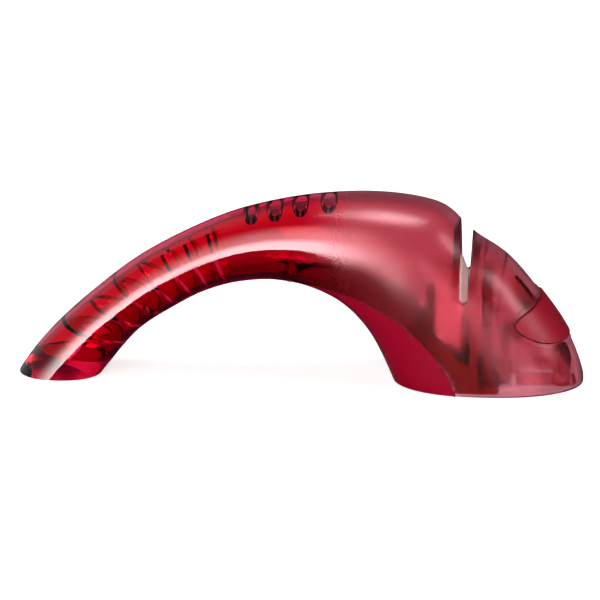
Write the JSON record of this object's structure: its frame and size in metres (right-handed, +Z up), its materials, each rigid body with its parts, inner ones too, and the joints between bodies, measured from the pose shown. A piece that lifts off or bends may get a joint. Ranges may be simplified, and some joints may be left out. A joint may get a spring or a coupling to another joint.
{
  "type": "knife sharpener",
  "caption": "Hand-held knife sharpener: clear red arched handle and head with a slot over bevelled ceramic wheels, swing-down carrier and release button.",
  "frame": {"origin": "on the table, at the middle of the length and of the width", "axes": "+X from the tail of the handle towards the nose, +Y across, +Z up"},
  "size_m": [0.2147, 0.0496, 0.0717],
  "materials": {
    "clear_red_plastic": "polished clear red on the handle, finely frosted on the head",
    "solid_red_plastic": "smooth opaque red",
    "button_red_plastic": "satin opaque red",
    "white_ceramic": "fine unglazed ceramic",
    "pale_plastic": "moulded satin",
    "axle_steel": "turned",
    "clip_steel": "zinc plated"
  },
  "bodies": {
    "housing": {"handle_housing": "clear_red_plastic", "slot_plate_rear": "clear_red_plastic", "slot_plate_front": "clear_red_plastic", "carrier_hinge_pin": "axle_steel", "button_pin": "axle_steel", "button_spring": "clip_steel"},
    "carrier": {"rear_foot": "solid_red_plastic", "wheel_cradle": "solid_red_plastic", "cradle_screw_left": "clip_steel", "cradle_screw_right": "clip_steel", "wheel_axle": "axle_steel", "axle_clip_rear": "clip_steel", "axle_clip_front": "clip_steel", "wheel_spacer": "pale_plastic", "thrust_washer_rear": "pale_plastic", "thrust_washer_front": "pale_plastic"},
    "rear_wheel": {"ceramic_wheel_rear": "white_ceramic", "wheel_hub_rear": "pale_plastic"},
    "front_wheel": {"ceramic_wheel_front": "white_ceramic", "wheel_hub_front": "pale_plastic"},
    "button": {"release_button": "button_red_plastic"}
  },
  "joints": [
    {"name": "carrier_swing", "type": "hinge", "parent": "housing", "child": "carrier", "pos_m": [-0.004, 0, 0.0399], "axis": [0, 1, 0], "range_deg": [0, 28]},
    {"name": "rear_wheel_turn", "type": "hinge", "parent": "carrier", "child": "rear_wheel", "pos_m": [0.057, 0, 0.0283], "axis": [1, 0, 0], "continuous": true},
    {"name": "front_wheel_turn", "type": "hinge", "parent": "carrier", "child": "front_wheel", "pos_m": [0.065, 0, 0.0283], "axis": [1, 0, 0], "continuous": true},
    {"name": "button_press", "type": "hinge", "parent": "housing", "child": "button", "pos_m": [0.0865, 0, 0.03], "axis": [0, 1, 0], "range_deg": [0, 2], "stiffness_Nm_per_rad": 0.3, "springref_deg": -2.86}
  ]
}
